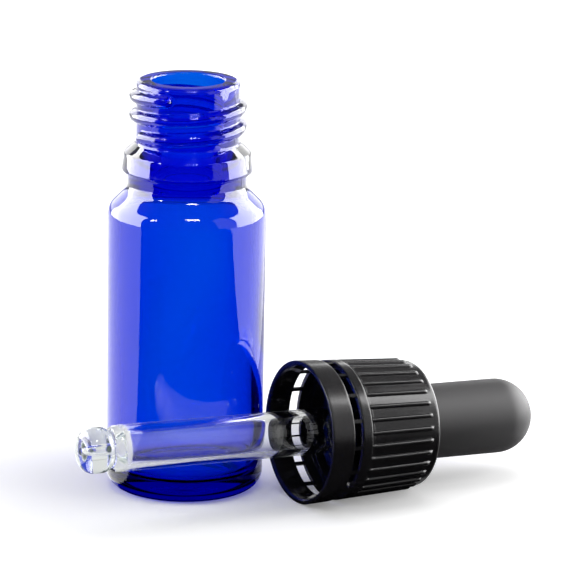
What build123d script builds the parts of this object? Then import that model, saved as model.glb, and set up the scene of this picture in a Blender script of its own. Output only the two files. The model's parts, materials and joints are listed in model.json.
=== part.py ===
from build123d import *
from math import cos, radians, sin, sqrt, tan
import os

# A small moulded-glass bottle with a screw neck, standing open, and its dropper, taken off
# and lying in front of it: a glass pipette, a rubber bulb, and a ribbed screw cap that
# carries a tamper ring on thin bridges. Millimetres, +Z up, origin at the middle of the foot.

# Bottle body, measured up from the floor
bottle_height = 64.2
body_diameter = 24.3
body_wall = 1.7
base_thickness = 2.9
heel_round = 2.6
foot_width = 1.5
push_up = 0.9
inner_base_round = 2.2

# Neck finish. Its thread's crest sets the neck, the bead and the cap that screws on.
thread_diameter = 18.0
thread_height = 1.075
mouth_diameter = 11.0
lip_outer_round = 0.6
lip_inner_round = 0.4
bead_past_thread = 1.15
bead_taper = 0.45
bead_drop = 14.25
bead_side = 3.05
bead_slope = 1.5
bead_ledge = 1.0
bead_under_round = 0.8
bead_top_round = 0.8
bead_root_round = 0.6

# Neck base and shoulder, measured down from the bead
neck_base_length = 2.55
neck_base_round = 1.0
shoulder_slope = 45.0
shoulder_round = 2.8
inner_shoulder_round = 2.2

# Tamper ring. Distances along the dropper start at its open rim and run towards the bulb,
# and its outside tapers by one draft angle from this rim to the top of the cap.
draft = 2.7
ring_clearance = 0.15
ring_wall = 0.8
ring_length = 3.8
ring_lead_in = 0.25
catch_inset = 1.1
catch_height = 0.55
catch_width = 1.3
catch_length = 1.5
catch_clearance = 0.2
slit = 1.5
bridge_count = 16
bridge_width = 0.55
bridge_depth = 0.36
bridge_inset = 0.18

# Screw cap
flange_length = 1.75
flange_front_round = 0.15
flange_rear_round = 0.25
step_height = 0.12
step_length = 0.45
bead_clearance = 0.4
cap_bore_clearance = 0.25
cap_top_wall = 1.2
cap_top_round = 0.55
rib_count = 32
rib_width = 0.7
rib_height = 0.4
rib_end_gap = 1.85

# Rubber bulb
bulb_reach = 21.2
bulb_wall = 1.3
bulb_root_swell = 0.15
bulb_root_length = 1.6
bulb_neck_wall = 1.37
bulb_flange_clearance = 0.75
bulb_flange_thickness = 1.2
bulb_flange_round = 0.3
bulb_grip_past_cap = 0.8
cavity_clearance = 1.02
cavity_round = 0.6
fit_gap = 0.05

# Glass pipette. Its tip is measured back from its front face, length after length.
tube_diameter = 7.06
tube_wall = 1.0
tube_reach = 37.1
tube_past_cap = 1.4
tube_top_round = 0.3
bulge_diameter = 6.95
bulge_length = 3.9
bulge_front_round = 2.0
bulge_back_round = 2.0
groove_diameter = 5.5
groove_front = 0.75
groove_back = 0.75
groove_round = 0.3
tip_shoulder_round = 1.8
orifice_diameter = 1.1
capillary_past_groove = 1.05
bore_end_length = 1.2
bore_end_round = 1.2

# How the dropper lies: turned from the X axis, and just clear of the bottle
dropper_turn = 26.9
rest_gap = 0.4

# Most of a side that the rounds at its two ends may take up together
round_share = 0.98

# Radii and heights of the bottle that follow from the sizes above
body_radius = body_diameter / 2
body_bore = body_radius - body_wall
foot_inner = body_radius - heel_round - foot_width
mouth = mouth_diameter / 2
thread_crest = thread_diameter / 2
neck_root = thread_crest - thread_height
bead = thread_crest + bead_past_thread
neck_base = bead - bead_ledge
bead_bottom = bottle_height - bead_drop
bead_side_top = bead_bottom + bead_side
bead_top = bead_side_top + bead_slope
slope = tan(radians(shoulder_slope))
shoulder_end = bead_bottom - neck_base_length
shoulder_corner = shoulder_end - (body_radius - neck_base) / slope
inner_shoulder = shoulder_corner - body_wall * tan(radians(shoulder_slope / 2))
mouth_bottom = inner_shoulder + (body_bore - mouth) / slope

# Places along the axis of the dropper. With the cap screwed down, the bulb's flange lies on
# the bottle's lip and the catches lie just under its bead, and this sets the cap's length.
flange_front = ring_length + slit
flange_rear = flange_front + flange_length
catch_top = ring_length - catch_inset
bulb_flange_front = catch_top + catch_clearance + bead_drop
bulb_flange_rear = bulb_flange_front + bulb_flange_thickness
cap_roof = bulb_flange_rear + fit_gap
cap_top = cap_roof + cap_top_wall
bulb_start = cap_top + fit_gap
tube_top = cap_top + tube_past_cap

# Radii of the dropper, from the bottle's neck outwards and from the tube outwards
ring_bore = bead + ring_clearance
rim = ring_bore + ring_wall
counterbore = bead - bead_taper + bead_clearance
cap_bore = thread_crest + cap_bore_clearance
tube = tube_diameter / 2
tube_bore = tube - tube_wall
socket = tube + fit_gap
cavity = tube + cavity_clearance
bulb = cavity + bulb_wall
bulb_root = bulb + bulb_root_swell
bulb_neck = socket + bulb_neck_wall
bulb_flange = cap_bore - bulb_flange_clearance
bulb_dome = cap_top + bulb_reach - bulb


def outside(along):
    """Radius of the dropper's tapered outside at a distance along its axis."""
    return rim - along * tan(radians(draft))


def panel(along):
    """Radius of the cap's smooth wall between its ribs."""
    return outside(along) - rib_height


# The dropper lies on the side of its taper, so its axis dips towards the bulb by the draft.
# It lies as close to the bottle as its pipette and the rim of its ring allow.
lean = radians(draft)
turn = radians(dropper_turn)
across = body_radius + tube + rest_gap
beyond = sqrt((body_radius + rest_gap) ** 2 - (across - rim) ** 2)
level = Vector(cos(turn), sin(turn), 0)
sideways = Vector(sin(turn), -cos(turn), 0)
dropper_direction = level * cos(lean) - Vector(0, 0, sin(lean))
dropper_origin = sideways * across + level * beyond + Vector(0, 0, rim * cos(lean))
dropper_plane = Plane(origin=dropper_origin, x_dir=sideways, z_dir=dropper_direction)
dropper_profile = Plane(
    origin=dropper_origin, x_dir=sideways, z_dir=sideways.cross(dropper_direction)
)
dropper_axis = Axis(dropper_origin, dropper_direction)


def outline(corners, close=False):
    """Draw lines through corners, each with its round, or the largest that its sides allow."""
    points = [Vector(*point) for point, _ in corners]
    sizes = [size for _, size in corners]
    sides = [after - point for point, after in zip(points, points[1:] + points[:1])]
    reaches = [
        size * tan(radians(sides[number - 1].get_angle(sides[number]) / 2))
        for number, size in enumerate(sizes)
    ]
    for number, side in enumerate(sides):
        following = (number + 1) % len(sides)
        taken = reaches[number] + reaches[following]
        if taken > round_share * side.length:
            for corner in (number, following):
                share = round_share * side.length / taken
                sizes[corner] = min(sizes[corner], corners[corner][1] * share)
    FilletPolyline(points, radius=sizes if close else sizes[1:-1], close=close)


# Bottle: the corners of its wall, outside then inside, each with the radius of its round
bottle_corners = [
    ((foot_inner, 0), 0),
    ((body_radius, 0), heel_round),
    ((body_radius, shoulder_corner), shoulder_round),
    ((neck_base, shoulder_end), neck_base_round),
    ((neck_base, bead_bottom), 0),
    ((bead, bead_bottom), bead_under_round),
    ((bead - bead_taper, bead_side_top), bead_top_round),
    ((neck_root, bead_top), bead_root_round),
    ((neck_root, bottle_height), lip_outer_round),
    ((mouth, bottle_height), lip_inner_round),
    ((mouth, mouth_bottom), inner_shoulder_round),
    ((body_bore, inner_shoulder), inner_shoulder_round),
    ((body_bore, base_thickness), inner_base_round),
    ((0, base_thickness), 0),
]
with BuildPart() as bottle:
    with BuildSketch(Plane.XZ):
        with BuildLine():
            outline(bottle_corners)
            Line((0, base_thickness), (0, push_up))
            TangentArc((0, push_up), (foot_inner, 0), tangent=(1, 0))
        make_face()
    revolve(axis=Axis.Z)

# Catches of the tamper ring: a ramped hoop, cut into short teeth between the bridges
with BuildPart() as catches:
    with BuildSketch(dropper_profile):
        with BuildLine():
            Polyline(
                (ring_bore + ring_wall / 2, catch_top - catch_length),
                (ring_bore, catch_top - catch_length),
                (ring_bore - catch_height, catch_top),
                (ring_bore + ring_wall / 2, catch_top),
                close=True,
            )
        make_face()
    revolve(axis=dropper_axis)
    with BuildSketch(dropper_plane):
        with PolarLocations(ring_bore, bridge_count, start_angle=180 / bridge_count):
            Rectangle(ring_wall + 2 * catch_height, catch_width)
    extrude(amount=ring_length, mode=Mode.INTERSECT)

# Tamper ring: a thin band that slips over the bottle's bead, with the catches inside
with BuildPart() as tamper_ring:
    with BuildSketch(dropper_profile):
        with BuildLine():
            Polyline(
                (ring_bore + ring_lead_in, 0),
                (outside(0), 0),
                (outside(ring_length), ring_length),
                (ring_bore, ring_length),
                (ring_bore, ring_lead_in),
                close=True,
            )
        make_face()
    revolve(axis=dropper_axis)
    add(catches.part)

# Tamper bridges: thin posts that hold the ring to the cap's flange until it is first opened
bridge_outer = outside(flange_front) - bridge_inset
with BuildPart() as tamper_bridges:
    with BuildSketch(dropper_plane.offset(ring_length)):
        with PolarLocations(bridge_outer - bridge_depth / 2, bridge_count):
            Rectangle(bridge_depth, bridge_width)
    extrude(amount=slit)

# One rib of the cap: a half-sunk round bar that follows the draft
rib_round = rib_width / 2
rib_end = cap_top - rib_end_gap
rib_foot = dropper_plane.from_local_coords((outside(flange_rear) - rib_round, 0, flange_rear))
rib_tip = dropper_plane.from_local_coords((outside(rib_end) - rib_round, 0, rib_end))
with BuildPart() as rib:
    with BuildLine() as rib_line:
        Line(rib_foot, rib_tip)
    with BuildSketch(Plane(rib_foot, z_dir=rib_line.line % 0)):
        Circle(rib_round)
    sweep(path=rib_line.line)

# Screw cap: flange, stepped and ribbed skirt, and a flat top with the bulb's hole
cap_corners = [
    ((counterbore, flange_front), 0),
    ((outside(flange_front), flange_front), flange_front_round),
    ((outside(flange_rear), flange_rear), flange_rear_round),
    ((panel(flange_rear) + step_height, flange_rear), 0),
    ((panel(flange_rear + step_length) + step_height, flange_rear + step_length), 0),
    ((panel(flange_rear + step_length), flange_rear + step_length), 0),
    ((panel(cap_top), cap_top), cap_top_round),
    ((bulb_neck + fit_gap, cap_top), 0),
    ((bulb_neck + fit_gap, cap_roof), 0),
    ((cap_bore, cap_roof), 0),
    ((cap_bore, flange_rear), 0),
    ((counterbore, flange_rear), 0),
]
with BuildPart() as screw_cap:
    with BuildSketch(dropper_profile):
        with BuildLine():
            outline(cap_corners, close=True)
        make_face()
    revolve(axis=dropper_axis)
    add([rib.part.rotate(dropper_axis, 360 / rib_count * number) for number in range(rib_count)])

# Rubber bulb: a flange under the cap's top, a neck through its hole, and a hollow dome
bulb_outside = [
    ((socket, bulb_flange_front), 0),
    ((bulb_flange, bulb_flange_front), bulb_flange_round),
    ((bulb_flange, bulb_flange_rear), bulb_flange_round),
    ((bulb_neck, bulb_flange_rear), 0),
    ((bulb_neck, bulb_start), 0),
    ((bulb_root, bulb_start), 0),
    ((bulb_root, bulb_start + bulb_root_length / 2), 0),
    ((bulb, bulb_start + bulb_root_length), bulb_root_length / 2),
    ((bulb, bulb_dome), 0),
]
bulb_inside = [
    ((cavity, bulb_dome), 0),
    ((cavity, cap_top + bulb_grip_past_cap), cavity_round),
    ((socket, cap_top + bulb_grip_past_cap), 0),
    ((socket, bulb_flange_front), 0),
]
with BuildPart() as rubber_bulb:
    with BuildSketch(dropper_profile):
        with BuildLine():
            outline(bulb_outside)
            CenterArc((0, bulb_dome), bulb, 0, 90)
            Line((0, bulb_dome + bulb), (0, bulb_dome + cavity))
            CenterArc((0, bulb_dome), cavity, 0, 90)
            outline(bulb_inside)
        make_face()
    revolve(axis=dropper_axis)

# Glass pipette: a straight tube drawn in to a grooved tip with a rounded bulge
tip = -tube_reach
bulge_back = tip + bulge_length
groove = bulge_back + groove_front
tip_shoulder = groove + groove_back
capillary_end = groove + capillary_past_groove
pipette_corners = [
    ((orifice_diameter / 2, tip), 0),
    ((bulge_diameter / 2, tip), bulge_front_round),
    ((bulge_diameter / 2, bulge_back), bulge_back_round),
    ((groove_diameter / 2, groove), groove_round),
    ((tube, tip_shoulder), tip_shoulder_round),
    ((tube, tube_top), tube_top_round),
    ((tube_bore, tube_top), tube_top_round),
    ((tube_bore, capillary_end + bore_end_length), bore_end_round),
    ((orifice_diameter / 2, capillary_end), 0),
]
with BuildPart() as glass_pipette:
    with BuildSketch(dropper_profile):
        with BuildLine():
            outline(pipette_corners, close=True)
        make_face()
    revolve(axis=dropper_axis)

bottle.part.label = "bottle"
glass_pipette.part.label = "glass_pipette"
rubber_bulb.part.label = "rubber_bulb"
screw_cap.part.label = "screw_cap"
tamper_ring.part.label = "tamper_ring"
tamper_bridges.part.label = "tamper_bridges"

os.makedirs("parts", exist_ok=True)
export_step(bottle.part, "parts/bottle.step")
export_step(glass_pipette.part, "parts/glass_pipette.step")
export_step(rubber_bulb.part, "parts/rubber_bulb.step")
export_step(screw_cap.part, "parts/screw_cap.step")
export_step(tamper_ring.part, "parts/tamper_ring.step")
export_step(tamper_bridges.part, "parts/tamper_bridges.step")
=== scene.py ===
# %% [markdown]
# # A blue glass dropper bottle
#
# The object is a small cobalt-blue bottle with a screw neck, standing open, and its dropper,
# which lies on the floor beside it: a clear glass pipette, a black rubber bulb and a ribbed
# black cap with a tamper ring. Its construction is already there as a frame of exact solids.
# This file gives it its looks: smooth glass walls with a moulded thread, crisp ribs, soft
# rubber, and the light that makes them read as what they are.

# %% Load the frame and keep its box
import json
from math import cos, pi, radians, sin, tan

import bmesh
import bpy
import numpy as np
from mathutils import Matrix, Vector


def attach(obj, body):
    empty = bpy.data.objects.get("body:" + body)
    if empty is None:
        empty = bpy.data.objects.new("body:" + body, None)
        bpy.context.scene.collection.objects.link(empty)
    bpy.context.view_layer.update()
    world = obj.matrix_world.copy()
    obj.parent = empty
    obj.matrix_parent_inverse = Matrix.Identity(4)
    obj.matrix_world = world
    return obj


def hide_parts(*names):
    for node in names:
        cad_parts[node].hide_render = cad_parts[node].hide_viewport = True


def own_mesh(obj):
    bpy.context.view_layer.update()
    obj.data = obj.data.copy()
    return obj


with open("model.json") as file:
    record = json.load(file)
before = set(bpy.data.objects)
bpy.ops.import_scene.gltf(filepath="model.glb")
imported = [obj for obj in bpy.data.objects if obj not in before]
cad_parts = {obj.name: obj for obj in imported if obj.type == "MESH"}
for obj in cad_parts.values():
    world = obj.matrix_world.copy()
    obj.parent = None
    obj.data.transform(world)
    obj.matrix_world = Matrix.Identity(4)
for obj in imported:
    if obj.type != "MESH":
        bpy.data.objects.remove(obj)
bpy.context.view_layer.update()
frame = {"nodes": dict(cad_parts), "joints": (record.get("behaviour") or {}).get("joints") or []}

# %% [markdown]
# ## The camera first
#
# A photograph fixes where its camera stood. A camera placed by eye would have every shape
# corrected for a wrong view, so the outlines of the bottle and of the dropper were fitted with
# a pinhole camera instead. That gave a long lens, 0.6 metres away, looking down by 15 degrees.
# The camera is made from those few numbers.

# %% Camera
MM = 0.001
picture_width = 576
sensor_width = 36.0
camera_place = Vector((0, -576.2, 182.3)) * MM
camera_down = 0.25576
camera_turned = 0.02725
camera_rolled = 0.01768
focal_pixels = 3863.3

look = Vector((
    sin(camera_turned) * cos(camera_down),
    cos(camera_turned) * cos(camera_down),
    -sin(camera_down),
))
level_right = look.cross(Vector((0, 0, 1))).normalized()
level_up = level_right.cross(look)
right = level_right * cos(camera_rolled) + level_up * sin(camera_rolled)
up = level_up * cos(camera_rolled) - level_right * sin(camera_rolled)

camera = bpy.data.objects.new("camera", bpy.data.cameras.new("camera"))
camera.data.sensor_width = sensor_width
camera.data.lens = focal_pixels / picture_width * sensor_width
camera.data.clip_start = 0.05
camera.data.clip_end = 20.0
camera.matrix_world = Matrix((
    (right.x, up.x, -look.x, camera_place.x),
    (right.y, up.y, -look.y, camera_place.y),
    (right.z, up.z, -look.z, camera_place.z),
    (0, 0, 0, 1),
))
bpy.context.scene.collection.objects.link(camera)
bpy.context.scene.camera = camera
print("lens in mm:", round(camera.data.lens, 1))

# %% [markdown]
# ## Profiles, turned on a lathe
#
# Every piece here is round: blown, drawn or moulded about an axis. Blender's Spin could turn
# the plain shapes, but threads, ribs and seams would then be joined on with booleans, and each
# join leaves a crease that glass shows. So each shape starts as a profile, straight runs
# joined by arcs, and is turned about its axis as one grid of points in numpy. A function of
# angle and height then pushes the points in or out, and that is where threads, ribs and seams
# come from.


# %% Helpers for profiles
def unit(vector):
    """The vector scaled to length one."""
    return vector / np.linalg.norm(vector)


def profile(corners, arc_steps=8):
    """Points of an open profile from corners of radius, height and the corner's round.

    Straight runs join the arcs. An arc's points turn evenly about its centre, which lies on
    the corner's bisector at round / sin(half the corner's angle).
    """
    places = np.array([corner[:2] for corner in corners], float)
    points = [places[:1]]
    for before, corner, after, size in zip(
        places, places[1:], places[2:], [corner[2] for corner in corners[1:-1]]
    ):
        if size == 0:
            points.append(corner[None])
            continue
        back = unit(before - corner)
        ahead = unit(after - corner)
        half = np.arccos(back @ ahead) / 2
        centre = corner + unit(back + ahead) * size / np.sin(half)
        start = corner + back * size / np.tan(half) - centre
        end = corner + ahead * size / np.tan(half) - centre
        sweep = pi - 2 * half
        share = np.linspace(0, 1, arc_steps + 1)[:, None]
        arc = np.sin((1 - share) * sweep) * start + np.sin(share * sweep) * end
        points.append(centre + arc / np.sin(sweep))
    points.append(places[-1:])
    return np.concatenate(points)


def divided(points, longest):
    """The same profile with points added, evenly by length, so no run is over the longest."""
    steps = np.linalg.norm(np.diff(points, axis=0), axis=1)
    counts = np.maximum(1, np.ceil(steps / longest)).astype(int)
    along = np.concatenate([[0], np.cumsum(steps)])
    spots = np.concatenate([
        start + step * np.arange(count) / count
        for start, step, count in zip(along, steps, counts)
    ] + [along[-1:]])
    return np.stack([np.interp(spots, along, points[:, axis]) for axis in (0, 1)], axis=1)


def smooth_max(low, high, blend):
    """The larger of two heights, with the corner between them rounded over a blend.

    The share of the high one is 0.5 + 0.5 * (high - low) / blend, kept from 0 to 1. The
    result is the mix by that share, raised by blend * share * (1 - share).
    """
    share = np.clip(0.5 + 0.5 * (high - low) / blend, 0, 1)
    return low + (high - low) * share + blend * share * (1 - share)


# %% Helpers for lathed grids
merge_distance = 0.001 * MM
shortest_edge = 0.0005 * MM


def even_angles(count):
    """Angles evenly round a turn."""
    return np.arange(count) / count * 2 * pi


def lathe(points, angles):
    """Grid of points: radius and height of each row, turned through each angle.

    x = radius * cos(angle), y = radius * sin(angle), z = height.
    """
    radius, height = points[:, :1], points[:, 1:]
    return np.stack([
        radius * np.cos(angles),
        radius * np.sin(angles),
        height + 0 * angles,
    ], axis=2)


def push(grid, amount):
    """Move each point of a lathed grid away from the axis by an amount in millimetres.

    x and y are multiplied by (radius + amount) / radius.
    """
    radius = np.maximum(np.hypot(grid[..., 0], grid[..., 1]), 1e-9)
    moved = grid.copy()
    moved[..., :2] *= ((radius + amount) / radius)[..., None]
    return moved


def piece_of(name, grid, closed_rows=False, place=None, smooth_angle=40.0):
    """Mesh object from a lathed grid in millimetres, closed round the axis.

    Neighbouring rows and columns are joined by quads, points that coincide are merged, which
    closes the poles, and the faces are turned to point outwards.
    """
    rows, columns = grid.shape[:2]
    index = np.arange(rows * columns).reshape(rows, columns)
    if closed_rows:
        index = np.concatenate([index, index[:1]])
    beside = np.roll(index, -1, axis=1)
    quads = np.stack([index[:-1], beside[:-1], beside[1:], index[1:]], axis=2).reshape(-1, 4)
    mesh = bpy.data.meshes.new(name)
    mesh.from_pydata(grid.reshape(-1, 3) * MM, [], quads.tolist())
    if place is not None:
        mesh.transform(place)
    shell = bmesh.new()
    shell.from_mesh(mesh)
    bmesh.ops.remove_doubles(shell, verts=shell.verts, dist=merge_distance)
    bmesh.ops.dissolve_degenerate(shell, edges=shell.edges, dist=shortest_edge)
    if shell.calc_volume(signed=True) < 0:
        bmesh.ops.reverse_faces(shell, faces=shell.faces)
    shell.to_mesh(mesh)
    shell.free()
    mesh.shade_smooth()
    mesh.set_sharp_from_angle(angle=radians(smooth_angle))
    piece = bpy.data.objects.new(name, mesh)
    bpy.context.scene.collection.objects.link(piece)
    print(name, "faces:", len(mesh.polygons))
    return piece


# %% [markdown]
# ## Materials
#
# Each finish starts from the real one and how it was made. Colours are the hex values that a
# painter would pick, turned to linear light by one function, and one small function adds a
# shader node with its settings and links. Patterns read Object coordinates and real sizes in
# millimetres, so they stay in place and in scale when a piece moves.


# %% Helpers for materials
def linear(hex_colour):
    """An sRGB hex colour as linear red, green, blue and an alpha of one."""
    shares = [int(hex_colour[start:start + 2], 16) / 255 for start in (1, 3, 5)]
    return tuple(
        c / 12.92 if c <= 0.04045 else ((c + 0.055) / 1.055) ** 2.4 for c in shares
    ) + (1.0,)


def add_node(tree, kind, settings=None, **links):
    """Add a node with its settings and links.

    A setting goes to the socket of that name, or else to the node's property. A link goes to
    the socket of that name, with _ for a space, or by number to socket no0, no1 and so on.
    """
    node = tree.nodes.new(kind)
    for key, value in (settings or {}).items():
        if key in node.inputs:
            node.inputs[key].default_value = value
        else:
            setattr(node, key, value)
    for key, source in links.items():
        name = key.replace("_", " ")
        tree.links.new(source, node.inputs[int(name[2:]) if name[:2] == "no" else name])
    return node


def new_material(name):
    """An empty node material, its tree and its output node."""
    material = bpy.data.materials.new(name)
    material.use_nodes = True
    material.node_tree.nodes.clear()
    return material, material.node_tree, add_node(material.node_tree, "ShaderNodeOutputMaterial")


def object_point(tree):
    """The place of each point in the piece's own frame, in metres."""
    return add_node(tree, "ShaderNodeTexCoord").outputs["Object"]


def noise(tree, point, size_mm, detail=2.0):
    """Soft noise whose bumps are about this many millimetres across, as a factor from 0 to 1."""
    return add_node(
        tree, "ShaderNodeTexNoise", {"Scale": 1 / (size_mm * MM), "Detail": detail}, Vector=point
    ).outputs[0]


def ranged(tree, factor, low, high):
    """A factor from 0 to 1 stretched to run from low to high."""
    return add_node(
        tree, "ShaderNodeMapRange", {"To Min": low, "To Max": high}, Value=factor
    ).outputs["Result"]


# %% [markdown]
# ### Cobalt glass and clear glass
#
# The bottle is cobalt-blue soda-lime glass, blown in a mould, and the pipette is clear glass,
# drawn into a tube. A tinted surface would give the thick foot and the thin wall the same
# blue. In the real bottle the colour is in the glass: the longer the way through it, the
# deeper the blue, so the foot is navy and the single wall seen through the mouth is azure.
# Volume Absorption does just that. The surface is fire-polished, almost free of roughness,
# with shallow waves from the mould that bend the reflections. Glass would also cast the
# shadow of a solid, so the rays that look for a lamp meet a transparent surface instead.

# %% Glass materials
glass_ior = 1.52
wave_depth = 0.1 * MM
smear_mm = 9.0
smear_roughness = 0.03


def left_of(per_metre, absorbed_per_mm):
    """The colour that makes Volume Absorption take these parts of red, green and blue a mm.

    The node takes density * (1 - colour) a metre, so colour = 1 - part * 1000 / density.
    """
    return tuple(1 - share * 1000 / per_metre for share in absorbed_per_mm) + (1.0,)


def glass(name, tint, lamp_tint, absorbed_per_mm, per_metre, wave_mm, wave_height):
    """Glass with waves of a size and height, that absorbs part of the light on its way."""
    material, tree, out = new_material(name)
    point = object_point(tree)
    waves = add_node(
        tree, "ShaderNodeBump", {"Strength": wave_height, "Distance": wave_depth},
        Height=noise(tree, point, wave_mm, 1.0),
    )
    smears = ranged(tree, noise(tree, point, smear_mm, 3.0), 0.0, smear_roughness)
    body = add_node(
        tree, "ShaderNodeBsdfPrincipled",
        {"Base Color": linear(tint), "Transmission Weight": 1.0, "IOR": glass_ior},
        Roughness=smears, Normal=waves.outputs["Normal"],
    )
    open_to_lamps = add_node(tree, "ShaderNodeBsdfTransparent", {"Color": linear(lamp_tint)})
    rays = add_node(tree, "ShaderNodeLightPath")
    mix = add_node(
        tree, "ShaderNodeMixShader",
        no0=rays.outputs["Is Shadow Ray"], no1=body.outputs[0], no2=open_to_lamps.outputs[0],
    )
    inside = add_node(
        tree, "ShaderNodeVolumeAbsorption",
        {"Color": left_of(per_metre, absorbed_per_mm), "Density": per_metre},
    )
    tree.links.new(mix.outputs[0], out.inputs["Surface"])
    tree.links.new(inside.outputs[0], out.inputs["Volume"])
    return material


cobalt_glass = glass(
    "cobalt_bottle_glass", "#FAFBFF", lamp_tint="#B0B4CC",
    absorbed_per_mm=(3.0, 0.84, 0.05), per_metre=3000.0, wave_mm=7.0, wave_height=0.12,
)
clear_glass = glass(
    "clear_drawn_glass", "#FFFFFF", lamp_tint="#EEEEEE",
    absorbed_per_mm=(0.014, 0.008, 0.010), per_metre=100.0, wave_mm=5.0, wave_height=0.05,
)
print("glass:", cobalt_glass.name, clear_glass.name)

# %% [markdown]
# ### Polypropylene and rubber
#
# The cap is black polypropylene from a polished mould: half gloss, with faint flow marks
# that change how sharp its reflections are. The bulb is black rubber from a blasted mould:
# matt, with a fine grain, and paler where light grazes it. Both are the same kind of surface
# with other numbers, so one function makes both. A real grain of about 0.05 mm is finer than
# a pixel here, so it is drawn three to five times as coarse.

# %% Plastic and rubber materials
moulded_ior = 1.49
grain_depth = 0.05 * MM
cloud_shade = 0.75


def moulded(name, colour, rough_low, rough_high, flow_mm, grain_mm, grain_height, shine):
    """Opaque moulded surface: flow marks vary its roughness and a fine grain its slope.

    Clouds of half the flow marks' size darken its colour by up to a quarter.
    """
    material, tree, out = new_material(name)
    point = object_point(tree)
    flow = noise(tree, point, flow_mm, 2.0)
    grain = add_node(
        tree, "ShaderNodeBump", {"Strength": grain_height, "Distance": grain_depth},
        Height=noise(tree, point, grain_mm, 3.0),
    )
    # In the colour mix, inputs 6 and 7 are its colours A and B, and output 2 is their mix.
    tone = add_node(
        tree, "ShaderNodeMix", {"data_type": "RGBA"}, Factor=noise(tree, point, flow_mm / 2, 3.0)
    )
    tone.inputs[6].default_value = tuple(
        cloud_shade * share for share in linear(colour)[:3]
    ) + (1.0,)
    tone.inputs[7].default_value = linear(colour)
    body = add_node(
        tree, "ShaderNodeBsdfPrincipled", {"Specular IOR Level": shine, "IOR": moulded_ior},
        Base_Color=tone.outputs[2], Roughness=ranged(tree, flow, rough_low, rough_high),
        Normal=grain.outputs["Normal"],
    )
    tree.links.new(body.outputs[0], out.inputs["Surface"])
    return material


black_polypropylene = moulded(
    "black_polypropylene", "#141315", rough_low=0.15, rough_high=0.26,
    flow_mm=6.0, grain_mm=0.25, grain_height=0.06, shine=0.42,
)
black_rubber = moulded(
    "black_moulded_rubber", "#201E20", rough_low=0.48, rough_high=0.58,
    flow_mm=4.0, grain_mm=0.15, grain_height=0.25, shine=0.45,
)
print("moulded:", black_polypropylene.name, black_rubber.name)

# %% [markdown]
# ## The bottle
#
# A glass bottle is blown into a mould in two halves, so its outside is exact and carries a
# faint seam on two sides, while its inside is only what the breath left: a wall that is a
# little thicker here and there. The neck is pressed, with its screw thread and, below it, the
# bead that the tamper ring snaps over. The thread could be a bar wound round the neck and
# joined to it, but where two solids of glass overlap, light meets walls that aren't there. So
# the bottle is one closed skin: a profile from the middle of the foot up the outside, over
# the lip and down the inside, with the thread as a function of angle and height.

# %% Sizes of the bottle, in millimetres
bottle_height = 64.2
body_radius = 12.15
body_wall = 1.7
base_thickness = 2.9
push_up = 0.9
foot_inner = 8.05
neck_base = 9.15
neck_root = 7.925
mouth_radius = 5.5
bead_radius = 10.15
bead_taper = 0.45
bead_bottom = 49.95
bead_height = 3.05
bead_run_out = 4.55
shoulder_end = 47.4
shoulder_corner = 44.4
inner_shoulder = 43.696
mouth_bottom = 48.646

thread_pitch = 3.0
thread_crest = 9.0
thread_round = 0.9
thread_root_blend = 0.5
thread_turns = 2.10
thread_bottom = 55.85
thread_start = radians(210)
bar_edge_slope = 3

seam_angle = radians(-25)
seam_height = 0.05
seam_width = 0.14
seam_fade_from = 44
seam_fade_length = 6
seam_least = 0.12
seam_reach = 0.035
seam_columns = 15
seam_gap = 0.012
round_columns = 224
print("bottle height and width in mm:", bottle_height, 2 * body_radius)


# %% The bottle's thread
def thread_distance(angle, height, start, bottom, turns, radius):
    """How far a point on a cylinder lies from a helix wound on it, in millimetres.

    The helix climbs one pitch a turn. The point of each turn straight above or below is
    tried, and past an end the end itself, so the thread ends in a ball.
    """
    whole = 2 * pi * turns
    nearest = np.full(np.broadcast(angle, height).shape, np.inf)
    for turn in range(int(turns) + 2):
        along = np.mod(angle - start, 2 * pi) + 2 * pi * (turn - 1)
        held = np.clip(along, 0, whole)
        rise = height - bottom - thread_pitch * held / (2 * pi)
        nearest = np.minimum(nearest, np.hypot(rise, (along - held) * radius))
    return nearest


def ball(distance, size):
    """Height of a round bar over its axis: sqrt(size^2 - distance^2), then a steep fall."""
    inside = np.sqrt(np.maximum(size ** 2 - distance ** 2, 0))
    return np.where(distance < size, inside, -bar_edge_slope * (distance - size))


def neck_thread(angle, height):
    """Height of the neck's thread over its root: a half-sunk round bar with a filleted foot."""
    distance = thread_distance(
        angle, height, thread_start, thread_bottom, thread_turns, thread_crest
    )
    ridge = thread_crest - thread_round + ball(distance, thread_round)
    return smooth_max(neck_root, ridge, thread_root_blend) - neck_root


# %% The bottle's seams and blown wall
def seam(angle, radius, height):
    """Height of the mould's seam: a low bell-shaped line on two opposite sides.

    It is seam_height * exp(-(distance / width)^2), full on the neck, which is pressed, and
    nearly gone on the body, which is blown.
    """
    off = np.mod(angle - seam_angle + pi / 2, pi) - pi / 2
    fade = np.clip((height - seam_fade_from) / seam_fade_length, seam_least, 1)
    return seam_height * fade * np.exp(-(off * radius / seam_width) ** 2)


def breath(angle, height):
    """Uneven thickness of the blown wall: a few long waves round and along the body.

    They fade out over the last millimetres below the pressed neck.
    """
    waves = (
        0.10 * np.cos(2 * angle - 0.6)
        + 0.06 * np.cos(3 * angle + height / 6)
        + 0.03 * np.cos(5 * angle - height / 4)
    )
    return waves * np.clip((mouth_bottom - height) / 8, 0, 1)


def bottle_angles():
    """Even angles, with more of them close to the seams."""
    beside = np.linspace(-seam_reach, seam_reach, seam_columns)
    near = np.concatenate([seam_angle + beside, seam_angle + pi + beside])
    even = even_angles(round_columns)
    gap = np.abs(np.mod(even[:, None] - near[None, :] + pi, 2 * pi) - pi).min(axis=1)
    return np.sort(np.mod(np.concatenate([even[gap > seam_gap], near]), 2 * pi))


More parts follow.
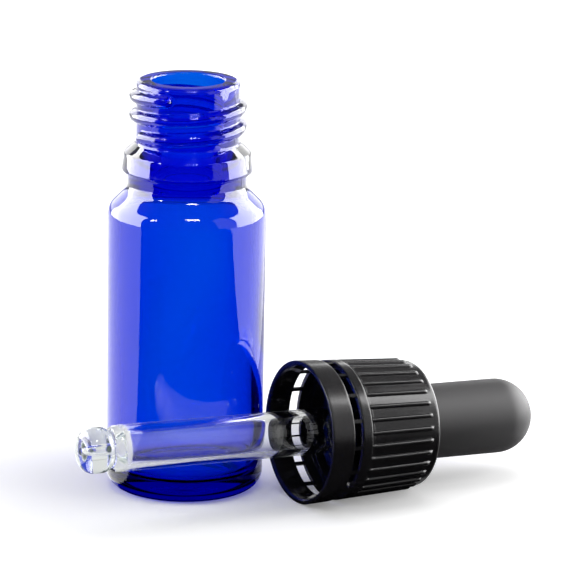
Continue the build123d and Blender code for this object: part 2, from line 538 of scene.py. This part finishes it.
# %% Profile of the bottle: its rows are close together where the thread is
wall_step = 0.9
thread_step = 0.11
fine_from, fine_to = 54.4, 63.7
walls = divided(profile([
    (foot_inner, 0, 0),
    (body_radius, 0, 2.6),
    (body_radius, shoulder_corner, 2.8),
    (neck_base, shoulder_end, 2.2),
    (neck_base, bead_bottom, 0.4),
    (bead_radius, bead_bottom, 0.5),
    (bead_radius - bead_taper, bead_bottom + bead_height, 0.8),
    (neck_root, bead_bottom + bead_run_out, 0.6),
    (neck_root, bottle_height, 0.85),
    (mouth_radius, bottle_height, 0.4),
    (mouth_radius, mouth_bottom, 2.2),
    (body_radius - body_wall, inner_shoulder, 2.2),
    (body_radius - body_wall, base_thickness, 2.2),
    (0, base_thickness, 0),
], 10), wall_step)
on_outside = walls[:, 0] > mouth_radius + 1
first, last = np.flatnonzero(
    on_outside & (walls[:, 1] > fine_from) & (walls[:, 1] < fine_to)
)[[0, -1]]
walls = np.concatenate([
    walls[:first], divided(walls[first:last + 1], thread_step), walls[last + 1:]
])
push_share = np.linspace(0, 1, 12)[:, None]
push_up_rows = np.concatenate([
    foot_inner * push_share, push_up * (1 - push_share ** 2)
], axis=1)
bottle_rows = np.concatenate([push_up_rows[:-1], walls])
print("rows of the bottle's profile:", len(bottle_rows))

# %% Turn the bottle
thread_from, thread_to = 54.3, 63.6
seam_from = 1.5
angles = bottle_angles()
row_radius, row_height = bottle_rows[:, :1], bottle_rows[:, 1:]
lip_end = np.flatnonzero(bottle_rows[:, 1] >= bottle_height - 0.01)[-1]
inner = np.arange(len(bottle_rows))[:, None] > lip_end
on_neck = (row_height > thread_from) & (row_height < thread_to) & ~inner
outer_wall = ~inner & (row_height > seam_from) & (row_height < bottle_height - 0.3)
blown = inner & (row_radius > 2)
amount = np.where(on_neck, neck_thread(angles[None], row_height), 0)
amount = amount + np.where(
    outer_wall, seam(angles[None], row_radius + amount, row_height), 0
)
amount = amount - np.where(blown, breath(angles[None], row_height), 0)
bottle = piece_of("blue_bottle", push(lathe(bottle_rows, angles), amount))
bottle.data.materials.append(cobalt_glass)
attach(bottle, "bottle")
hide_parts("bottle")

# %% [markdown]
# ## The dropper's own frame
#
# The dropper lies at an angle. Its pieces could be made lying down, but every formula would
# then carry that angle. So they are turned upright about their own axis and then laid in
# place by one matrix. Its axis is that of the joint about which the pipette turns in the cap.
# Heights run from the open rim of the tamper ring towards the bulb.

# %% Lay-down matrix
turning = next(joint for joint in frame["joints"] if joint["name"] == "teat_turn")
dropper_origin = Vector(turning["pos_m"])
dropper_axis = Vector(turning["axis"]).normalized()
dropper_side = dropper_axis.cross(Vector((0, 0, 1))).normalized()
dropper_up = dropper_axis.cross(dropper_side)
laid = Matrix.Translation(dropper_origin) @ Matrix((
    (dropper_side.x, dropper_up.x, dropper_axis.x, 0),
    (dropper_side.y, dropper_up.y, dropper_axis.y, 0),
    (dropper_side.z, dropper_up.z, dropper_axis.z, 0),
    (0, 0, 0, 1),
))
print("dropper's rim in mm:", [round(part / MM, 1) for part in dropper_origin])

# %% Sizes that the dropper's pieces share, in millimetres
draft = tan(radians(2.7))
rim_radius = 11.1
ring_bore = 10.3
ring_length = 3.8
flange_front = 5.3
flange_rear = 7.05
cap_top = 19.6
cap_roof = 18.4
cap_bore = 9.25
counterbore = 10.1
rib_height = 0.4
bulb_neck = 4.95


def outside(along):
    """Radius of the dropper's tapered outside: the rim's, less along * draft."""
    return rim_radius - along * draft


def panel(along):
    """Radius of the cap's wall between its ribs."""
    return outside(along) - rib_height


print("cap's width at its rim and its top in mm:", 2 * rim_radius, round(2 * outside(cap_top), 2))

# %% [markdown]
# ## The screw cap
#
# The cap is injection moulded. A plain flange ends the skirt, a thin step stands behind it,
# and 32 half-round ribs run up to just below the top and end in a ball, so that fingers can
# turn it. Inside is the thread that fits the bottle's. The ribs could be bars repeated round
# a plain cap, but their feet would cut into it. One grid holds all of it here: the ribs push
# its outer rows out, the thread pushes the bore's rows in, and every foot has its fillet.

# %% Ribs of the cap
rib_count = 32
rib_round = 0.35
rib_blend = 0.1
rib_start = flange_rear - 0.5
rib_end = 17.75
rib_spots = np.array([-4.3, -2.9, -2.15, -1.75, -1.3, -0.7, 0, 0.7, 1.3, 1.75, 2.15, 2.9, 4.3])


def rib_angles():
    """Angles with most of their points on the ribs' flanks, from the spots in degrees."""
    pitch = 360 / rib_count
    return np.radians((np.arange(rib_count)[:, None] * pitch + rib_spots[None]).ravel())


def ribbed(angle, along, plain):
    """Radius of the skirt with its ribs, each a half-sunk bar that ends in a ball."""
    pitch = 2 * pi / rib_count
    off = np.mod(angle + pitch / 2, pitch) - pitch / 2
    centre = outside(along) - rib_round
    past = np.maximum(along - rib_end, 0) + np.maximum(rib_start - along, 0)
    rib = centre + ball(np.hypot(np.sin(off) * centre, past), rib_round)
    return smooth_max(plain, rib, rib_blend)


print("ribs:", rib_count, "each", 2 * rib_round, "mm wide")

# %% Profile of the cap
step_height = 0.12
step_end = flange_rear + 0.45
cap_rows = divided(profile([
    (counterbore, flange_front, 0),
    (outside(flange_front), flange_front, 0.15),
    (outside(flange_rear), flange_rear, 0.22),
    (panel(flange_rear) + step_height, flange_rear + 0.01, 0),
    (panel(step_end) + step_height, step_end, 0.06),
    (panel(step_end), step_end + 0.05, 0),
    (panel(cap_top), cap_top, 0.55),
    (bulb_neck + 0.05, cap_top, 0.1),
    (bulb_neck + 0.05, cap_roof, 0),
    (cap_bore, cap_roof, 0.4),
    (cap_bore, flange_rear, 0.15),
    (counterbore, flange_rear - 0.02, 0.1),
    (counterbore, flange_front, 0),
], 5), 0.28)[:-1]
print("rows of the cap's profile:", len(cap_rows))

# %% Turn the cap
cap_thread_turns = 1.75
cap_thread_bottom = 8.5
cap_thread_axis = 9.005
cap_thread_round = 0.8
cap_thread_blend = 0.3

cap_angles = rib_angles()
cap_radius, cap_along = cap_rows[:, :1], cap_rows[:, 1:]
skirt = (cap_radius > 9.4) & (cap_along > flange_rear + 0.005) & (cap_along < cap_top - 0.3)
bore = (np.abs(cap_radius - cap_bore) < 0.01) & (cap_along > flange_rear)
thread_off = thread_distance(
    cap_angles[None], cap_along, 0.0, cap_thread_bottom, cap_thread_turns, cap_thread_axis
)
thread_in = smooth_max(
    -cap_bore, ball(thread_off, cap_thread_round) - cap_thread_axis, cap_thread_blend
)
cap_push = np.where(skirt, ribbed(cap_angles[None], cap_along, cap_radius) - cap_radius, 0)
cap_push = cap_push + np.where(bore, -thread_in - cap_bore, 0)
cap = piece_of("ribbed_cap", push(lathe(cap_rows, cap_angles), cap_push), True, laid)
cap.data.materials.append(black_polypropylene)
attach(cap, "cap")
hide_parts("screw_cap")

# %% [markdown]
# ## The tamper ring and its bridges
#
# The ring hangs on the cap by sixteen thin bridges, which tear when a sealed bottle is first
# opened, and the ring stays behind on the bottle's bead. Sixteen ramped catches inside let it
# slide on but not off. They could be wedges set in one by one, but as a function they are
# part of the ring's own skin: a ramp along the ring, times a window round it. The bridges are
# right as the solids have them, so they stay and only get the cap's material.

# %% Tamper ring
catch_count = 16
catch_height = 0.55
catch_half_width = 0.65
catch_flank = 0.1
catch_top = 2.7
catch_bottom = 1.2

ring_rows = divided(profile([
    (ring_bore, 2.0, 0),
    (ring_bore, 0.25, 0),
    (ring_bore + 0.25, 0, 0.08),
    (outside(0), 0, 0.14),
    (outside(ring_length), ring_length, 0.14),
    (ring_bore, ring_length, 0.06),
    (ring_bore, catch_top + 0.02, 0),
    (ring_bore, catch_top, 0),
    (ring_bore, 2.0, 0),
], 5), 0.3)[:-1]
catch_pitch = 2 * pi / catch_count
catch_edge = np.array([0, 0.4, 0.58, 0.65, 0.72, 0.9, 1.3]) / ring_bore
catch_spots = np.concatenate([-catch_edge[:0:-1], catch_edge, [catch_pitch / 2]])
ring_angles = np.sort((
    (np.arange(catch_count)[:, None] + 0.5) * catch_pitch + catch_spots[None]
).ravel())
ring_radius, ring_along = ring_rows[:, :1], ring_rows[:, 1:]
ramp = np.clip((ring_along - catch_bottom) / (catch_top - catch_bottom), 0, 1)
off = np.mod(ring_angles, catch_pitch)[None] - catch_pitch / 2
catch_window = np.clip(
    (catch_half_width + catch_flank / 2 - np.abs(off) * ring_bore) / catch_flank, 0, 1
)
inside_face = (ring_radius < ring_bore + 0.01) & (ring_along <= catch_top + 0.001)
ring_push = np.where(inside_face, -catch_height * ramp * catch_window, 0)
ring = piece_of("snap_ring", push(lathe(ring_rows, ring_angles), ring_push), True, laid, 30.0)
ring.data.materials.append(black_polypropylene)
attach(ring, "cap")
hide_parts("tamper_ring")

# %% Tamper bridges
bridges = frame["nodes"]["tamper_bridges"]
for place in bridges.material_slots:
    place.material = black_polypropylene
print("bridges' material slots:", len(bridges.material_slots))

# %% [markdown]
# ## The rubber bulb
#
# The bulb is moulded in one piece, but only its dome gives when it is pressed: the collar is held
# by the cap. Made as one piece, the whole bulb would flatten, with the collar in its hole. So it
# is made as two pieces that meet in the flare above the cap, and the dome gets a mesh of its own.

# %% Bulb collar and dome
bulb_radius = 5.85
bulb_root = 6.0
cavity = 4.55
socket = 3.58
socket_end = 20.4
flange_radius = 8.5
flange_bottom = 17.15
flange_top = 18.35
bulb_start = 19.65
root_end = 21.25
dome_centre = 34.95
rubber_step = 0.5

collar_rows = divided(profile([
    (socket, flange_bottom, 0),
    (flange_radius, flange_bottom, 0.3),
    (flange_radius, flange_top, 0.3),
    (bulb_neck, flange_top, 0.15),
    (bulb_neck, bulb_start, 0.05),
    (bulb_root, bulb_start, 0.12),
    (bulb_root, bulb_start + 0.8, 0.8),
    (bulb_radius, root_end, 0.3),
    (bulb_radius - 0.08, root_end + 0.6, 0),
    (cavity, root_end + 0.6, 0),
    (cavity, socket_end, 0.5),
    (socket, socket_end, 0.1),
    (socket, flange_bottom, 0),
], 6), rubber_step)[:-1]
dome_turn = np.linspace(0, pi / 2, 24)
dome_arc = np.stack([np.cos(dome_turn), np.sin(dome_turn)], axis=1)
dome_wall = np.array([
    [cavity, dome_centre],
    [cavity, root_end - 0.2],
    [bulb_radius - 0.25, root_end - 0.2],
    [bulb_radius, root_end + 0.05],
    [bulb_radius, dome_centre],
])
dome_rows = np.concatenate([
    divided(dome_wall, rubber_step)[:-1],
    dome_arc * bulb_radius + (0, dome_centre),
    dome_arc[::-1] * cavity + (0, dome_centre),
])[:-1]
bulb_angles = even_angles(128)
collar = piece_of("bulb_collar", lathe(collar_rows, bulb_angles), True, laid, 50.0)
dome = piece_of("bulb_dome", lathe(dome_rows, bulb_angles), True, laid, 50.0)
for rubber in (collar, dome):
    rubber.data.materials.append(black_rubber)
    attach(rubber, "pipette")
    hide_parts("rubber_bulb")
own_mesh(dome)

# %% [markdown]
# ## The pipette
#
# The pipette is a drawn glass tube. Its tip is heated, drawn in to a fine bore, and pressed
# in a small form that leaves a bulge and a groove. Solidify could thicken a single skin, but
# the bore doesn't follow the outside at the tip. So the whole section, outside and bore, is
# one profile turned about the axis.

# %% Pipette
tip = -37.1
tube = 3.53
tube_bore = 2.53
tube_end = 21.0
orifice = 0.55
bulge = 3.475
groove = 2.75
pipette_rows = divided(profile([
    (tube_bore, 0, 0),
    (tube_bore, tip + 6.9, 1.2),
    (orifice, tip + 5.7, 0.5),
    (orifice, tip, 0.15),
    (bulge, tip, 2.0),
    (bulge, tip + 3.9, 2.0),
    (groove, tip + 4.65, 0.4),
    (tube, tip + 5.4, 1.8),
    (tube, tube_end, 0.4),
    (tube_bore, tube_end, 0.4),
    (tube_bore, 0, 0),
], 9), 1.2)[:-1]
pipette = piece_of("glass_dropper", lathe(pipette_rows, even_angles(128)), True, laid, 50.0)
pipette.data.materials.append(clear_glass)
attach(pipette, "pipette")
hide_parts("glass_pipette")

# %% [markdown]
# ## The studio
#
# Glass and black plastic show the room more than themselves, so the room is planned from the
# reflections. An image of a studio could light the scene, but its windows wouldn't stand where
# these were. So the room is built from flat cards that only reflections show, and the plain
# light comes from large soft lamps and a pale sky.

# %% Helpers for the studio
window_distance = 0.6
window_aim = Vector((0, 0, 0.045))


def stage_plane(name, corners, material):
    """A flat card of the studio, which isn't part of the object."""
    mesh = bpy.data.meshes.new(name)
    mesh.from_pydata(corners, [], [tuple(range(len(corners)))])
    card = bpy.data.objects.new(name, mesh)
    card.data.materials.append(material)
    bpy.context.scene.collection.objects.link(card)
    return card


def reflected(name, corners, strength):
    """A white card of a brightness, that only mirror-like reflections show."""
    material, tree, out = new_material(name + "_face")
    face = add_node(tree, "ShaderNodeEmission", {"Strength": strength})
    tree.links.new(face.outputs[0], out.inputs["Surface"])
    card = stage_plane(name, corners, material)
    for ray in ("camera", "diffuse", "transmission", "shadow", "volume_scatter"):
        setattr(card, "visible_" + ray, False)


def window(name, sideways_degrees, up_degrees, width, height, strength):
    """A small card that faces the bottle, in a direction told by angles from the front."""
    sideways, upwards = radians(sideways_degrees), radians(up_degrees)
    out_to = Vector((
        sin(sideways) * cos(upwards), -cos(sideways) * cos(upwards), sin(upwards)
    ))
    centre = out_to * window_distance + window_aim
    across = out_to.cross(Vector((0, 0, 1))).normalized() * width / 2
    upright = across.cross(out_to).normalized() * height / 2
    reflected(name, [
        centre - across - upright, centre + across - upright,
        centre + across + upright, centre - across + upright,
    ], strength)


# %% [markdown]
# ### The floor
#
# The floor is pale matt paper. Lit plainly it would be a light grey, so the camera sees a glow on
# it as well, which brings it to white. The glow is much weaker towards the bottle's foot, which
# paints a shade round the foot, over the real shadow that the paper keeps there.

# %% Floor
floor_radius = 4.0
# Painted shade: near the bottle's foot the camera's glow on the paper is lower, which darkens the
# floor round the foot.
glow_in_painted_shade = 0.1
glow_in_open = 0.66
foot_edge = 8 * MM
open_edge = 70 * MM

floor_paper, tree, out = new_material("pale_sweep_paper")
paper = add_node(
    tree, "ShaderNodeBsdfDiffuse", {"Color": linear("#F2F2F2"), "Roughness": 0.9}
)
rays = add_node(tree, "ShaderNodeLightPath")
from_axis = add_node(
    tree, "ShaderNodeVectorMath", {"operation": "LENGTH"}, no0=object_point(tree)
)
glow_with_painted_shade = add_node(
    # Painted shade: the glow falls from 0.66 in the open to 0.1 at the bottle's foot, darkening
    # the paper round the foot whatever the lamps do.
    tree, "ShaderNodeMapRange",
    {
        "interpolation_type": "SMOOTHSTEP", "From Min": foot_edge, "From Max": open_edge,
        "To Min": glow_in_painted_shade, "To Max": glow_in_open,
    },
    Value=from_axis.outputs["Value"],
)
glow = add_node(
    tree, "ShaderNodeMath", {"operation": "MULTIPLY"},
    no0=rays.outputs["Is Camera Ray"], no1=glow_with_painted_shade.outputs["Result"],
)
lit = add_node(tree, "ShaderNodeEmission", Strength=glow.outputs[0])
both = add_node(tree, "ShaderNodeAddShader", no0=paper.outputs[0], no1=lit.outputs[0])
tree.links.new(both.outputs[0], out.inputs["Surface"])
stage_plane("floor", [
    (floor_radius * cos(turn), floor_radius * sin(turn), 0) for turn in even_angles(96)
], floor_paper)
print("floor across in m:", 2 * floor_radius)

# %% [markdown]
# ### The cards
#
# Two tall white boxes stand left and right, and their light runs out over the floor beside the
# bottle: they leave a bright band along each side of it. A dark card on the floor in front
# keeps the middle deep blue. Two small windows high in front leave the short dashes on the
# shoulder. Corners are in metres.

# %% Reflecting cards
card_height = 0.0002
reflected("dark_front", [
    (0, 0, card_height), (-1.1, -0.45, card_height), (-1.1, -1.4, card_height),
    (1.1, -1.4, card_height), (1.1, -0.5, card_height), (0.211, -0.103, card_height),
    (0.10, -0.014, card_height),
], 0.0)
reflected("left_sweep", [
    (-0.012, -0.006, card_height), (-0.012, 0.4, card_height),
    (-0.35, 0.4, card_height), (-0.35, -0.145, card_height),
], 1.8)
reflected("right_sweep", [
    (0.06, 0.0, card_height), (0.10, -0.013, card_height), (0.211, -0.102, card_height),
    (0.30, -0.19, card_height), (0.30, 0.4, card_height), (0.06, 0.4, card_height),
], 2.3)
reflected("left_box", [
    (-0.35, -0.145, 0), (-0.35, 0.42, 0), (-0.35, 0.42, 0.42), (-0.35, -0.10, 0.40),
], 10.5)
reflected("right_box", [
    (0.30, -0.08, 0), (0.30, 0.40, 0), (0.30, 0.40, 0.36), (0.30, -0.05, 0.33),
], 10.5)
reflected("right_wing", [
    (0.30, -0.08, 0.02), (0.30, -0.30, 0.02), (0.30, -0.30, 0.48), (0.30, -0.08, 0.48),
], 0.8)
reflected("left_backdrop", [
    (-0.60, 0.7, 0.05), (-0.12, 0.9, 0.05), (-0.12, 0.9, 0.42), (-0.60, 0.7, 0.42),
], 3.0)
reflected("right_backdrop", [
    (0.12, 0.9, 0.05), (0.60, 0.7, 0.05), (0.60, 0.7, 0.42), (0.12, 0.9, 0.42),
], 3.0)
window("front_window", 14, 61, 0.15, 0.12, 22.0)
window("left_window", -57, 39, 0.085, 0.09, 22.0)
print("materials in all:", len(bpy.data.materials))

# %% [markdown]
# ### Lamps and sky
#
# One large lamp above and one on each side light the object plainly, and reflections and
# glass don't show them. The sky is white to the camera and through the glass, as the
# picture's background is. In reflections it is nearly black in front and grey behind, so that
# the cards stand out on the glass and the black plastic.

# %% Lamps
lamp_aim = Vector((0.01, 0, 0.03))


def soft_lamp(name, place, size, power):
    """A large soft lamp of a size in metres, that faces the object and isn't reflected."""
    lamp = bpy.data.lights.new(name, "AREA")
    lamp.shape = "RECTANGLE"
    lamp.size, lamp.size_y = size
    lamp.energy = power
    holder = bpy.data.objects.new(name, lamp)
    holder.location = place
    holder.rotation_euler = (lamp_aim - Vector(place)).to_track_quat("-Z", "Y").to_euler()
    holder.visible_glossy = False
    holder.visible_transmission = False
    bpy.context.scene.collection.objects.link(holder)


soft_lamp("top_lamp", (0.05, 0.15, 0.75), (0.7, 0.5), 3.2)
soft_lamp("left_lamp", (-0.55, -0.15, 0.40), (0.4, 0.4), 1.3)
soft_lamp("right_lamp", (0.55, -0.05, 0.40), (0.4, 0.4), 1.3)
print("lamps:", len(bpy.data.lights))

# %% Sky
plain_sky = 0.4
mirrored_front = 0.02
mirrored_back = 0.45
white_sky = 1.0

world = bpy.data.worlds.new("studio")
bpy.context.scene.world = world
world.use_nodes = True
tree = world.node_tree
tree.nodes.clear()
rays = add_node(tree, "ShaderNodeLightPath")
straight = add_node(
    tree, "ShaderNodeMath", {"operation": "MAXIMUM"},
    no0=rays.outputs["Is Camera Ray"], no1=rays.outputs["Is Transmission Ray"],
)
direction = add_node(
    tree, "ShaderNodeSeparateXYZ", Vector=add_node(tree, "ShaderNodeTexCoord").outputs["Generated"]
)
mirrored = add_node(
    tree, "ShaderNodeMapRange",
    {
        "interpolation_type": "SMOOTHSTEP", "From Min": -0.1, "From Max": 0.7,
        "To Min": mirrored_front, "To Max": mirrored_back,
    },
    Value=direction.outputs["Y"],
)
plain_or_mirrored = add_node(
    tree, "ShaderNodeMix", {"A": plain_sky},
    Factor=rays.outputs["Is Glossy Ray"], B=mirrored.outputs["Result"],
)
white_or_not = add_node(
    tree, "ShaderNodeMix", {"B": white_sky},
    Factor=straight.outputs[0], A=plain_or_mirrored.outputs["Result"],
)
sky = add_node(tree, "ShaderNodeBackground", Strength=white_or_not.outputs["Result"])
tree.links.new(
    sky.outputs[0], add_node(tree, "ShaderNodeOutputWorld").inputs["Surface"]
)
print("sky:", world.name)

# %% [markdown]
# ### Colour and bounces
#
# Standard shows colours about as they are written. A ray through the bottle crosses its two
# walls and the pipette's, and is mirrored between them, so it may bounce often before it ends.

# %% Colour and bounces
ray_bounces = 32
scene = bpy.context.scene
scene.view_settings.view_transform = "Standard"
scene.cycles.max_bounces = ray_bounces
scene.cycles.transmission_bounces = ray_bounces
scene.cycles.transparent_max_bounces = ray_bounces
scene.cycles.glossy_bounces = ray_bounces
print("bounces:", ray_bounces)
